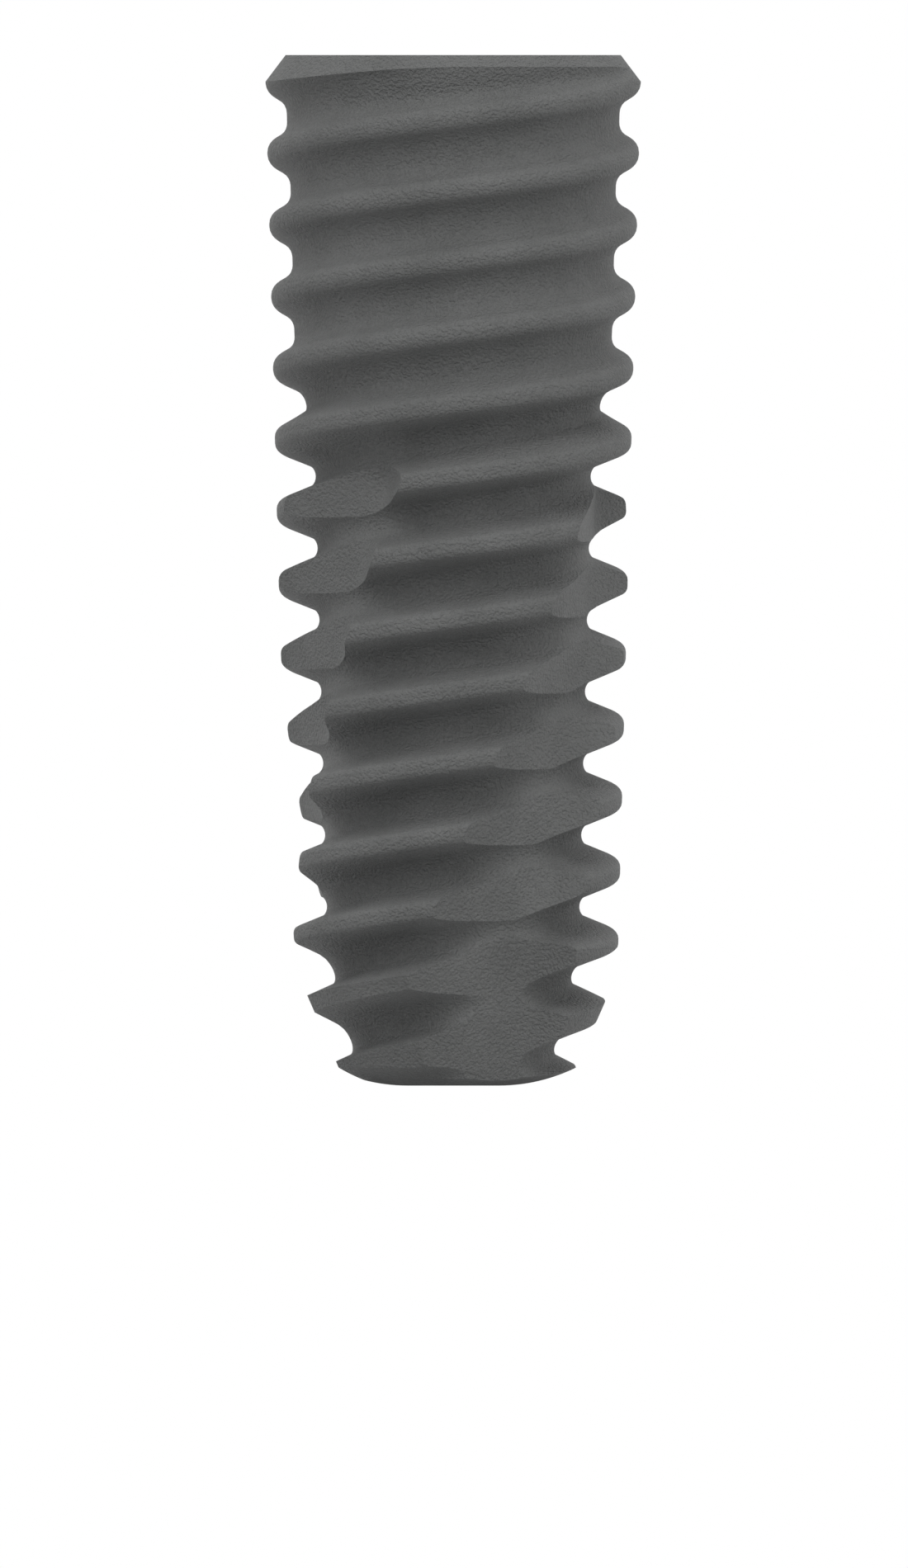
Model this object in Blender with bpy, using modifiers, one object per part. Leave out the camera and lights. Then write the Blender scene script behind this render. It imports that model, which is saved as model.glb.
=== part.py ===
"""Threaded fixture of a dental implant, turned and milled from one piece of titanium.

The tapered core carries a right-hand thread with two starts. A lathe blank sets the platform,
the neck bevel, the cone and the domed tip, and the thread runs through them. Three slowly
twisting flutes cut the lower threads so that they tap their own way. A six-sided socket and a
blind screw bore, both hidden in the photograph, take the abutment.

Sizes are in millimetres. Heights are measured from the tip, which stands on the origin.
"""

import math

import bmesh
import bpy

MM = 0.001

# Overall form
LENGTH = 11.5
BODY_DIAMETER = 4.2  # over the thread crests, at the height of the platform
BODY_TAPER = math.radians(1.5)  # of the crests, on each side
PLATFORM_DIAMETER = 3.74
NECK_BEVEL_ANGLE = math.radians(37.1)  # from the axis

# Thread
THREAD_PITCH = 0.8
THREAD_STARTS = 2
CREST_HALF_WIDTH = 0.0944  # at the crest, before its edges are rounded
UPPER_THREAD_DEPTH = 0.248
UPPER_FLANK_SLOPE = 1.8145  # depth gained for each millimetre along the axis
UPPER_CREST_FILLET = 0.137
UPPER_ROOT_FILLET = 0.217
LOWER_THREAD_DEPTH = 0.4448
LOWER_FLANK_SLOPE = 2.665
LOWER_CREST_FILLET = 0.084
LOWER_ROOT_FILLET = 0.200
DEEP_BELOW = 6.911  # height under which the thread has its lower section
SHALLOW_ABOVE = 8.430  # height over which it has its upper section

# The groove comes out to the bevel under the platform
RUNOUT_HEIGHT = 0.55  # of the run-out, under the platform
RUNOUT_SLOPE = 0.28  # depth lost for each millimetre of height
RUNOUT_EASE = 0.12  # height over which the loss begins
NECK_SHALLOWING = 0.02  # of the last full groove
NECK_SHALLOWING_SPAN = (0.86, 0.17)  # heights under the run-out between which it comes in
LEAST_DEPTH = 0.02  # of the groove past its run-out, inside the metal that the lathe takes off

# Apex
CONE_HEIGHT = 1.248
CONE_SLOPE = 0.44  # radius lost for each millimetre of height
TIP_FLAT_DIAMETER = 1.012
TIP_ARC_RADIUS = 1.96
ROOT_TUCK_HEIGHT = CONE_HEIGHT + 0.299  # height under which the groove leans inwards
ROOT_TUCK_SLOPE = 0.212  # further radius lost for each millimetre of height
SHARP_CREST_HEIGHT = CONE_HEIGHT + 0.046  # height under which the cone, not a fillet, ends each crest
APEX_THREAD_LIFT = 0.021
APEX_LIFT_BOTTOM = CONE_HEIGHT + 0.138
APEX_LIFT_TOP = CONE_HEIGHT + 0.368

# Flutes. Each is a wedge between a long left wall and a short right wall.
FLUTE_ANGLES = (0.0, 118.8, 237.7)  # degrees between the first flute and each flute
FLUTE_START_ANGLE = -43.7  # degrees from +X, of the first flute at its reference height
FLUTE_REFERENCE_HEIGHT = 4.102
FLUTE_TWIST = 12.0  # degrees for each millimetre of height
FLUTE_STRAIGHT_BELOW = CONE_HEIGHT + 0.414
FLUTE_LEFT_HALF_WIDTH = 26.4  # degrees at the crests
FLUTE_NARROWING = 0.38  # degrees for each millimetre of height
FLUTE_RIGHT_HALF_WIDTH = 27.2  # degrees at the crests
FLUTE_RIGHT_WIDENING = 1.25  # degrees for each millimetre of height lost
FLUTE_WIDENS_BELOW = 3.18
FLUTE_WIDEST_HEIGHT = CONE_HEIGHT + 0.182
FLUTE_LEFT_LEAN = 11.3  # degrees between the left wall's normal and the flute's own direction
FLUTE_RIGHT_LEAN = 27.0
FLUTE_FILLET = 0.70
FLUTE_DEEPENS_BELOW = CONE_HEIGHT + 0.552
FLUTE_DEEPENING = 0.244  # depth gained for each millimetre of height lost
FLUTE_TOP = 6.70
FLUTE_RUNOUT_HEIGHT = 0.36
FLUTE_RUNOUT_DEPTH = 0.50

# Socket and bore
MOUTH_DIAMETER = 2.95  # of the lead-in cone at the platform
MOUTH_DEPTH = 0.35
MOUTH_PAST_FLATS = 0.14  # how far inside the flats the lead-in cone ends
HEX_ACROSS_FLATS = 2.42
HEX_DEPTH = 1.90
BORE_DIAMETER = 1.55  # inside the crests of the internal thread
BORE_LEAD_IN_DIAMETER = 1.95
BORE_LEAD_IN_OVERCUT = 0.06  # how far its cutter reaches above the floor of the hexagon
BORE_DEPTH = 5.60  # of the full bore, under the platform
DRILL_POINT_HALF_ANGLE = math.radians(59.0)

# Mesh
THREAD_COLUMNS = 32
TURNED_STEPS = 48
TIP_ARC_STEPS = 5
FLUTE_LEVEL_STEP = 0.28
FLUTE_ARC_STEPS = 4
FLUTE_RUNOUT_STEPS = 3
OVERCUT = 0.25  # how far a cutter reaches past the metal
CREST_CLEARANCE = 0.06  # between the crests and the end of a flute's wall
WALL_CLEARANCE = 0.20  # between a flute's wall, where nearest the axis, and its end
MERGE_DISTANCE = 1e-7  # metres
SHARP_ANGLE = math.radians(32.0)  # between faces, from which an edge is drawn sharp

TITANIUM_COLOUR = (0.115, 0.118, 0.116, 1.0)


def ease(low, high, value):
    """A smooth step from 0 at low to 1 at high."""
    share = min(max((value - low) / (high - low), 0.0), 1.0)
    return share * share * (3.0 - 2.0 * share)


def crest_radius(height):
    """The radius of the tapered body over its thread crests."""
    return BODY_DIAMETER / 2 - (LENGTH - height) * math.tan(BODY_TAPER)


def groove_tuck(height):
    """How far the thread leans inwards near the tip."""
    return max(ROOT_TUCK_HEIGHT - height, 0.0) * ROOT_TUCK_SLOPE


def apex_lift(height):
    """The small rise of the last turns over the even pitch."""
    return APEX_THREAD_LIFT * (1.0 - ease(APEX_LIFT_BOTTOM, APEX_LIFT_TOP, height))


class ThreadSection:
    """The thread's groove at one height: depth against distance from a crest's centre."""

    def __init__(self, height):
        upper = ease(DEEP_BELOW, SHALLOW_ABOVE, height)
        self.sharp = height < SHARP_CREST_HEIGHT
        self.slope = LOWER_FLANK_SLOPE + (UPPER_FLANK_SLOPE - LOWER_FLANK_SLOPE) * upper
        self.crest_fillet = LOWER_CREST_FILLET + (UPPER_CREST_FILLET - LOWER_CREST_FILLET) * upper
        self.root_fillet = LOWER_ROOT_FILLET + (UPPER_ROOT_FILLET - LOWER_ROOT_FILLET) * upper
        full = LOWER_THREAD_DEPTH + (UPPER_THREAD_DEPTH - LOWER_THREAD_DEPTH) * upper
        self.depth = max(full - self.neck_loss(height), LEAST_DEPTH)
        angle = math.atan(self.slope)
        half_tangent = math.tan(angle / 2)
        self.flank_end = CREST_HALF_WIDTH + self.depth / self.slope
        root_room = THREAD_PITCH / 2 - self.flank_end
        self.root_tangent = max(min(self.root_fillet * half_tangent, root_room), 0.001)
        self.root_fillet = self.root_tangent / half_tangent
        self.crest_tangent = min(self.crest_fillet * half_tangent, CREST_HALF_WIDTH)
        self.crest_fillet = self.crest_tangent / half_tangent
        self.land = CREST_HALF_WIDTH - self.crest_tangent
        self.flank_start = CREST_HALF_WIDTH + self.crest_tangent * math.cos(angle)
        self.root_start = self.flank_end - self.root_tangent * math.cos(angle)

    @staticmethod
    def neck_loss(height):
        """Depth lost where the groove runs out under the platform."""
        bottom = LENGTH - RUNOUT_HEIGHT
        over = max(height - bottom, 0.0)
        if over < RUNOUT_EASE:
            ramp = over * over / (2.0 * RUNOUT_EASE)
        else:
            ramp = over - RUNOUT_EASE / 2.0
        start, end = (bottom - distance for distance in NECK_SHALLOWING_SPAN)
        shallowing = NECK_SHALLOWING * ease(start, end, height)
        return shallowing + RUNOUT_SLOPE * ramp

    def depth_at(self, distance):
        """Depth under the crest line, at a distance from the crest's centre along the axis."""
        if distance < self.flank_start:
            if self.sharp:
                return (distance - CREST_HALF_WIDTH) * self.slope
            inside = max(distance - self.land, 0.0)
            return self.crest_fillet - math.sqrt(max(self.crest_fillet**2 - inside**2, 0.0))
        if distance < self.root_start:
            return (distance - CREST_HALF_WIDTH) * self.slope
        to_floor = self.flank_end + self.root_tangent - distance
        if to_floor <= 0.0:
            return self.depth
        rise = self.root_fillet - math.sqrt(max(self.root_fillet**2 - to_floor**2, 0.0))
        return self.depth - rise

    def offsets(self):
        """Distances from a crest's centre, up to the next crest, at which the mesh has a row."""
        middle = THREAD_PITCH / 2
        root_mid = (self.root_start + middle) / 2
        half = [self.land, self.flank_start, self.root_start, root_mid]
        return half + [middle] + [THREAD_PITCH - offset for offset in reversed(half)]


def thread_point(angle, height, distance):
    """A point of the threaded surface, in metres, at a signed distance from its crest."""
    section = ThreadSection(height)
    radius = crest_radius(height) - groove_tuck(height) - section.depth_at(abs(distance))
    return (
        radius * math.cos(angle) * MM,
        radius * math.sin(angle) * MM,
        height * MM,
    )


def threaded_column(angle, first_crest, last_crest, bottom, top):
    """The points of one column of the thread, from below the tip to above the platform."""
    lead = THREAD_PITCH * THREAD_STARTS
    rise = lead * angle / math.tau
    points = []
    for crest in range(first_crest, last_crest):
        base = crest * THREAD_PITCH + rise
        for offset in ThreadSection(base).offsets():
            distance = offset if offset <= THREAD_PITCH / 2 else offset - THREAD_PITCH
            height = base + offset
            height = min(max(height + apex_lift(height), bottom), top)
            true_distance = distance if bottom < height < top else THREAD_PITCH / 2
            points.append(thread_point(angle, height, true_distance))
    return points


def make_object(name, mesh, collection, is_cutter):
    """A mesh object in a collection, drawn as wire and left out of renders if it is a cutter."""
    made = bpy.data.objects.new(name, mesh)
    collection.objects.link(made)
    if is_cutter:
        made.hide_render = True
        made.display_type = "WIRE"
    return made


def mesh_from(name, points, faces):
    """A cleaned mesh with outward faces."""
    shape = bmesh.new()
    vertices = [shape.verts.new(point) for point in points]
    for face in faces:
        corners = [vertices[index] for index in dict.fromkeys(face)]
        if len(corners) > 2:
            shape.faces.new(corners)
    bmesh.ops.remove_doubles(shape, verts=shape.verts, dist=MERGE_DISTANCE)
    bmesh.ops.dissolve_degenerate(shape, edges=shape.edges, dist=MERGE_DISTANCE)
    bmesh.ops.recalc_face_normals(shape, faces=shape.faces)
    mesh = bpy.data.meshes.new(name)
    shape.to_mesh(mesh)
    shape.free()
    return mesh


def threaded_core(collection):
    """The threaded bar, longer than the fixture at both ends, as a loft along its helices."""
    bottom = -OVERCUT
    top = LENGTH + OVERCUT
    lead = THREAD_PITCH * THREAD_STARTS
    first_crest = math.floor((bottom - lead) / THREAD_PITCH) - 1
    last_crest = math.ceil(top / THREAD_PITCH) + 1
    points = []
    for column in range(THREAD_COLUMNS):
        angle = math.tau * column / THREAD_COLUMNS
        points += threaded_column(angle, first_crest, last_crest, bottom, top)
    rows = len(points) // THREAD_COLUMNS
    row_shift = THREAD_STARTS * len(ThreadSection(LENGTH / 2).offsets())
    faces = []
    for column in range(THREAD_COLUMNS):
        following = (column + 1) % THREAD_COLUMNS
        shift = row_shift if following == 0 else 0
        for row in range(rows - 1):
            near = column * rows + row
            far = following * rows + min(row + shift, rows - 1)
            far_next = following * rows + min(row + 1 + shift, rows - 1)
            faces.append((near, far, far_next, near + 1))
    faces.append([column * rows for column in range(THREAD_COLUMNS)])
    faces.append([column * rows + rows - 1 for column in range(THREAD_COLUMNS)])
    mesh = mesh_from("implant_fixture", points, faces)
    return make_object("implant_fixture", mesh, collection, False)


def turned(name, profile, collection):
    """A closed solid of revolution about the Z axis, from a profile of (radius, height)."""
    shape = bmesh.new()
    chain = [shape.verts.new((radius * MM, 0.0, height * MM)) for radius, height in profile]
    for start, end in zip(chain, chain[1:]):
        shape.edges.new((start, end))
    mesh = bpy.data.meshes.new(name)
    shape.to_mesh(mesh)
    shape.free()
    made = make_object(name, mesh, collection, True)
    screw = made.modifiers.new("turn", "SCREW")
    screw.axis = "Z"
    screw.angle = math.tau
    screw.steps = TURNED_STEPS
    screw.render_steps = TURNED_STEPS
    screw.use_merge_vertices = True
    screw.merge_threshold = MERGE_DISTANCE
    return made


def cone_radius(height):
    """The radius of the apex cone, which meets the taper at the cone's height."""
    return crest_radius(CONE_HEIGHT) - (CONE_HEIGHT - height) * CONE_SLOPE


def tip_arc():
    """Points of the domed tip, from the cone down to the flat."""
    flat = TIP_FLAT_DIAMETER / 2
    reach = cone_radius(0.0) - flat
    a = 1.0 + CONE_SLOPE**2
    b = 2.0 * (CONE_SLOPE * reach - TIP_ARC_RADIUS)
    meeting = (-b - math.sqrt(max(b * b - 4.0 * a * reach**2, 0.0))) / (2.0 * a)
    sweep = math.acos(1.0 - meeting / TIP_ARC_RADIUS)
    points = []
    for step in range(TIP_ARC_STEPS + 1):
        angle = sweep * (1.0 - step / TIP_ARC_STEPS)
        radius = flat + TIP_ARC_RADIUS * math.sin(angle)
        points.append((radius, TIP_ARC_RADIUS * (1.0 - math.cos(angle))))
    return points


def blank(collection):
    """What the lathe leaves: platform, neck bevel, apex cone, domed tip and its flat."""
    outer = BODY_DIAMETER / 2 + 2.0 * OVERCUT
    platform = PLATFORM_DIAMETER / 2
    bevel_drop = (outer - platform) / math.tan(NECK_BEVEL_ANGLE)
    cone_top = CONE_HEIGHT + (outer - crest_radius(CONE_HEIGHT)) / CONE_SLOPE
    profile = [
        (0.0, LENGTH),
        (platform, LENGTH),
        (outer, LENGTH - bevel_drop),
        (outer, cone_top),
    ]
    profile += tip_arc()
    profile.append((0.0, 0.0))
    return turned("blank", profile, collection)


def flute_direction(height):
    """The angle, from +X, that the first flute faces at this height."""
    above = max(height, FLUTE_STRAIGHT_BELOW) - FLUTE_REFERENCE_HEIGHT
    return math.radians(FLUTE_START_ANGLE + FLUTE_TWIST * above)


def wall_end(body_radius, distance, normal_angle, side):
    """Where a flute's wall, at a distance from the axis, comes out just past the crests."""
    reach = max(body_radius + CREST_CLEARANCE, distance + WALL_CLEARANCE)
    angle = normal_angle + side * math.acos(distance / reach)
    return (reach * math.cos(angle), reach * math.sin(angle))


def outer_corner(point):
    """The cutter's corner straight outside the end of a wall."""
    share = (BODY_DIAMETER / 2 + 2.5 * OVERCUT) / math.hypot(*point)
    return (point[0] * share, point[1] * share)


def flute_section(height, withdrawn, start_angle):
    """One level of a flute cutter: both walls, joined by a fillet, and two outer corners."""
    frozen = max(height, FLUTE_STRAIGHT_BELOW)
    narrowing = (frozen - FLUTE_REFERENCE_HEIGHT) * FLUTE_NARROWING
    widening = max(FLUTE_WIDENS_BELOW - max(height, FLUTE_WIDEST_HEIGHT), 0.0) * FLUTE_RIGHT_WIDENING
    left_half = math.radians(FLUTE_LEFT_HALF_WIDTH - narrowing)
    right_half = math.radians(FLUTE_RIGHT_HALF_WIDTH + widening)
    left_lean = math.radians(FLUTE_LEFT_LEAN)
    right_lean = math.radians(FLUTE_RIGHT_LEAN)
    radius = crest_radius(height)
    deeper = max(FLUTE_DEEPENS_BELOW - height, 0.0) * FLUTE_DEEPENING - withdrawn
    left = radius * math.cos(left_half + left_lean) - deeper
    right = radius * math.cos(right_half + right_lean) - deeper
    # The walls' normals, in the flute's own frame, with x outwards and y to the right.
    left_normal = (math.cos(left_lean), math.sin(left_lean))
    right_normal = (math.cos(right_lean), -math.sin(right_lean))
    spread = left_normal[0] * right_normal[1] - left_normal[1] * right_normal[0]
    a = left + FLUTE_FILLET
    b = right + FLUTE_FILLET
    centre_x = (a * right_normal[1] - left_normal[1] * b) / spread
    centre_y = (left_normal[0] * b - a * right_normal[0]) / spread
    section = []
    for step in range(FLUTE_ARC_STEPS + 1):
        share = step / FLUTE_ARC_STEPS
        angle = left_lean + (-right_lean - left_lean) * share
        section.append(
            (
                centre_x - FLUTE_FILLET * math.cos(angle),
                centre_y - FLUTE_FILLET * math.sin(angle),
            )
        )
    left_end = wall_end(radius, left, left_lean, -1.0)
    right_end = wall_end(radius, right, -right_lean, 1.0)
    left_middle = [(end + start) / 2 for end, start in zip(left_end, section[0])]
    right_middle = [(end + start) / 2 for end, start in zip(right_end, section[-1])]
    section = [outer_corner(left_end), left_end, left_middle, *section]
    section += [right_middle, right_end, outer_corner(right_end)]
    turn = flute_direction(height) + start_angle
    return [
        (
            (x * math.cos(turn) - y * math.sin(turn)) * MM,
            (x * math.sin(turn) + y * math.cos(turn)) * MM,
            height * MM,
        )
        for x, y in section
    ]


def flute_levels():
    """Heights of the cutter's sections, each with how far the cutter is withdrawn there."""
    bottom = -OVERCUT
    count = max(math.ceil((FLUTE_TOP - bottom) / FLUTE_LEVEL_STEP), 2)
    levels = [(bottom + (FLUTE_TOP - bottom) * step / count, 0.0) for step in range(count + 1)]
    for step in range(1, FLUTE_RUNOUT_STEPS + 1):
        angle = math.pi / 2 * step / FLUTE_RUNOUT_STEPS
        height = FLUTE_TOP + FLUTE_RUNOUT_HEIGHT * math.sin(angle)
        levels.append((height, FLUTE_RUNOUT_DEPTH * (1.0 - math.cos(angle))))
    return levels


def flute_cutter(name, start_angle, collection):
    """A solid that cuts one flute, lofted through its sections."""
    levels = flute_levels()
    points = []
    for height, withdrawn in levels:
        points += flute_section(height, withdrawn, start_angle)
    width = len(points) // len(levels)
    faces = []
    for level in range(len(levels) - 1):
        for corner in range(width):
            following = (corner + 1) % width
            low = level * width
            high = low + width
            faces.append((low + corner, low + following, high + following, high + corner))
    faces.append(list(range(width)))
    faces.append(list(range(len(points) - width, len(points))))
    return make_object(name, mesh_from(name, points, faces), collection, True)


def hex_cutter(collection):
    """The six-sided socket, as a prism that reaches above the platform."""
    corner = HEX_ACROSS_FLATS / 2 / math.cos(math.pi / 6) * MM
    height = (HEX_DEPTH + OVERCUT) * MM
    shape = bmesh.new()
    bmesh.ops.create_cone(
        shape, cap_ends=True, segments=6, radius1=corner, radius2=corner, depth=height
    )
    mesh = bpy.data.meshes.new("hex_socket_cutter")
    shape.to_mesh(mesh)
    shape.free()
    made = make_object("hex_socket_cutter", mesh, collection, True)
    made.location.z = (LENGTH - HEX_DEPTH) * MM + height / 2
    return made


def bore_cutter(collection):
    """The lead-in cone at the platform and the blind screw bore, turned in one."""
    mouth = MOUTH_DIAMETER / 2
    inner = HEX_ACROSS_FLATS / 2 - MOUTH_PAST_FLATS
    bore = BORE_DIAMETER / 2
    lead_in = BORE_LEAD_IN_DIAMETER / 2
    hex_floor = LENGTH - HEX_DEPTH
    bore_floor = LENGTH - BORE_DEPTH
    cone = (mouth - inner) / MOUTH_DEPTH
    profile = [
        (0.0, LENGTH + OVERCUT),
        (mouth + cone * OVERCUT, LENGTH + OVERCUT),
        (inner, LENGTH - MOUTH_DEPTH),
        (lead_in, hex_floor + BORE_LEAD_IN_OVERCUT),
        (lead_in, hex_floor),
        (bore, hex_floor - (lead_in - bore)),
        (bore, bore_floor),
        (0.0, bore_floor - bore / math.tan(DRILL_POINT_HALF_ANGLE)),
    ]
    return turned("bore_cutter", profile, collection)


def titanium():
    """Blasted and etched titanium, dull dark grey."""
    material = bpy.data.materials.new("blasted_titanium")
    material.use_nodes = True
    shader = material.node_tree.nodes["Principled BSDF"]
    shader.inputs["Base Color"].default_value = TITANIUM_COLOUR
    shader.inputs["Metallic"].default_value = 0.35
    shader.inputs["Roughness"].default_value = 0.62
    return material


def cut(target, cutter, operation):
    """Adds one exact Boolean to the target."""
    modifier = target.modifiers.new(cutter.name, "BOOLEAN")
    modifier.operation = operation
    modifier.solver = "EXACT"
    modifier.object = cutter


def finish(target):
    """Turns the cut shape into the target's own mesh, shaded smooth up to its real edges."""
    bpy.context.view_layer.update()
    evaluated = target.evaluated_get(bpy.context.evaluated_depsgraph_get())
    mesh = bpy.data.meshes.new_from_object(evaluated)
    target.modifiers.clear()
    target.data = mesh
    mesh.name = target.name
    mesh.shade_smooth()
    mesh.set_sharp_from_angle(angle=SHARP_ANGLE)


def main():
    """Builds the fixture in an empty scene."""
    for existing in list(bpy.data.objects):
        bpy.data.objects.remove(existing)
    scene = bpy.context.scene
    parts = bpy.data.collections.new("dental_implant")
    cutters = bpy.data.collections.new("cutters")
    cutters.hide_render = True
    scene.collection.children.link(parts)
    scene.collection.children.link(cutters)

    fixture = threaded_core(parts)
    fixture.data.materials.append(titanium())
    cut(fixture, blank(cutters), "INTERSECT")
    for number, angle in enumerate(FLUTE_ANGLES, start=1):
        flute = flute_cutter(f"flute_cutter_{number}", math.radians(angle), cutters)
        cut(fixture, flute, "DIFFERENCE")
    cut(fixture, hex_cutter(cutters), "DIFFERENCE")
    cut(fixture, bore_cutter(cutters), "DIFFERENCE")
    finish(fixture)


main()
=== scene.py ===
"""Looks of a dental implant fixture: blasted titanium, fine threads and flutes, soft light.

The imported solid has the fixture's main forms. This script replaces it with a finer mesh of the
same forms, made by the same steps as in the workshop: a threaded bar is turned to the blank's
outline, three flutes are ground into it, and the socket and the tapped bore are cut from above.
Sizes are in millimetres, and heights are measured from the tip.
"""

import logging
import math
from dataclasses import dataclass, field
from enum import Enum

import bmesh
import bpy
import numpy as np
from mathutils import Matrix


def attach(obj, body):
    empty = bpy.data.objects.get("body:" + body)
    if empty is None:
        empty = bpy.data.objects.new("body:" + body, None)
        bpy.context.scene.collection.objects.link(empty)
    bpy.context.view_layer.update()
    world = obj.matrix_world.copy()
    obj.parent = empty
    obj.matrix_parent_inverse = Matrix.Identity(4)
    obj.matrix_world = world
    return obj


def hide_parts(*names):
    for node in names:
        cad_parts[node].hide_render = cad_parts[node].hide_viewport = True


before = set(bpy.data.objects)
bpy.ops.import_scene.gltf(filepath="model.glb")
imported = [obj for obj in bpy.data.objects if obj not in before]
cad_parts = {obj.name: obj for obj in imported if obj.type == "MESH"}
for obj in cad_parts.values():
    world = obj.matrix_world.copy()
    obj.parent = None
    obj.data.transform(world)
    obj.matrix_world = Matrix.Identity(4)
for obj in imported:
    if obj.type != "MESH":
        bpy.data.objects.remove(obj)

LOG = logging.getLogger("implant")
MM = 0.001
MERGE_DISTANCE = 0.001
NOISE_RANGE = (0.3, 0.7)


class Cut(Enum):
    """How one solid changes another."""

    KEEP_COMMON = "INTERSECT"
    TAKE_AWAY = "DIFFERENCE"


def ease(low: float, high: float, value: np.ndarray) -> np.ndarray:
    """A smooth step.

    Args:
        low: Where the step starts, at 0.
        high: Where the step ends, at 1.
        value: Heights to test.

    Returns:
        The share of the step that each height has passed.
    """
    share = np.clip((value - low) / (high - low), 0.0, 1.0)
    return share * share * (3.0 - 2.0 * share)


def mesh_object(name: str, points: np.ndarray, faces: list[tuple[int, ...]]) -> bpy.types.Object:
    """Makes a closed mesh object with outward faces.

    Args:
        name: The object's name.
        points: Its corners in millimetres, one a row.
        faces: Corner numbers of each face. Repeated corners are dropped.

    Returns:
        The object, linked to the scene.
    """
    clean = [tuple(dict.fromkeys(face)) for face in faces]
    mesh = bpy.data.meshes.new(name)
    mesh.from_pydata((points * MM).tolist(), [], [face for face in clean if len(face) > 2])
    shape = bmesh.new()
    shape.from_mesh(mesh)
    loose = [vertex for vertex in shape.verts if not vertex.link_faces]
    bmesh.ops.delete(shape, geom=loose, context="VERTS")
    bmesh.ops.recalc_face_normals(shape, faces=shape.faces)
    shape.to_mesh(mesh)
    shape.free()
    made = bpy.data.objects.new(name, mesh)
    bpy.context.scene.collection.objects.link(made)
    return made


def loft(name: str, sections: np.ndarray) -> bpy.types.Object:
    """Joins closed sections, one above the other, into a solid with flat ends.

    Args:
        name: The object's name.
        sections: Points in millimetres, as (section, corner, axis).

    Returns:
        The solid.
    """
    levels, width = sections.shape[:2]
    faces: list[tuple[int, ...]] = []
    for level in range(levels - 1):
        low = level * width
        for corner in range(width):
            following = (corner + 1) % width
            high = low + width
            faces.append((low + corner, low + following, high + following, high + corner))
    faces.append(tuple(range(width)))
    faces.append(tuple(range((levels - 1) * width, levels * width)))
    return mesh_object(name, sections.reshape(-1, 3), faces)


def lathe(name: str, profile: list[tuple[float, float]], steps: int) -> bpy.types.Object:
    """Turns a profile about the Z axis.

    Args:
        name: The object's name.
        profile: Points of (radius, height) in millimetres, from the top end to the bottom.
        steps: Facets round the axis.

    Returns:
        The closed solid of revolution.
    """
    mesh = bpy.data.meshes.new(name)
    points = [(radius * MM, 0.0, height * MM) for radius, height in profile]
    mesh.from_pydata(points, [(i, i + 1) for i in range(len(points) - 1)], [])
    made = bpy.data.objects.new(name, mesh)
    bpy.context.scene.collection.objects.link(made)
    screw = made.modifiers.new("turn", "SCREW")
    screw.steps = screw.render_steps = steps
    screw.use_merge_vertices = True
    screw.merge_threshold = MERGE_DISTANCE * MM
    return made


def wind(name: str, radius: np.ndarray, height: np.ndarray, shift: int) -> bpy.types.Object:
    """Makes a threaded bar from rows of points that climb round the axis.

    Args:
        name: The object's name.
        radius: Radii in millimetres, as (row, column), with each row one turn long.
        height: Heights of the same points, held at the bar's two ends.
        shift: How many rows further up a row is after one turn.

    Returns:
        The closed bar, with flat ends.
    """
    rows, columns = height.shape
    angles = math.tau * np.arange(columns) / columns
    points = np.stack([radius * np.cos(angles), radius * np.sin(angles), height], axis=-1)
    number = np.arange(rows * columns).reshape(rows, columns)
    number = np.where(height <= height.min(), number[0], number)
    number = np.where(height >= height.max(), number[-1], number)
    faces: list[tuple[int, ...]] = []
    for near in range(columns):
        far = (near + 1) % columns
        step = shift if far == 0 else 0
        here, there = number[:, near].tolist(), number[:, far].tolist()
        for row in range(rows - 1):
            below, above = min(row + step, rows - 1), min(row + 1 + step, rows - 1)
            faces.append((here[row], there[below], there[above], here[row + 1]))
    faces += [tuple(number[0].tolist()), tuple(number[-1].tolist())]
    return mesh_object(name, points.reshape(-1, 3), faces)


@dataclass
class Taper:
    """The tapered envelope that the thread crests follow."""

    length: float = 11.5
    diameter: float = 4.203
    side_angle: float = 1.5

    def radius(self, height: np.ndarray | float) -> np.ndarray | float:
        """The envelope's radius at a height."""
        return self.diameter / 2 - (self.length - height) * math.tan(math.radians(self.side_angle))


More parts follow.
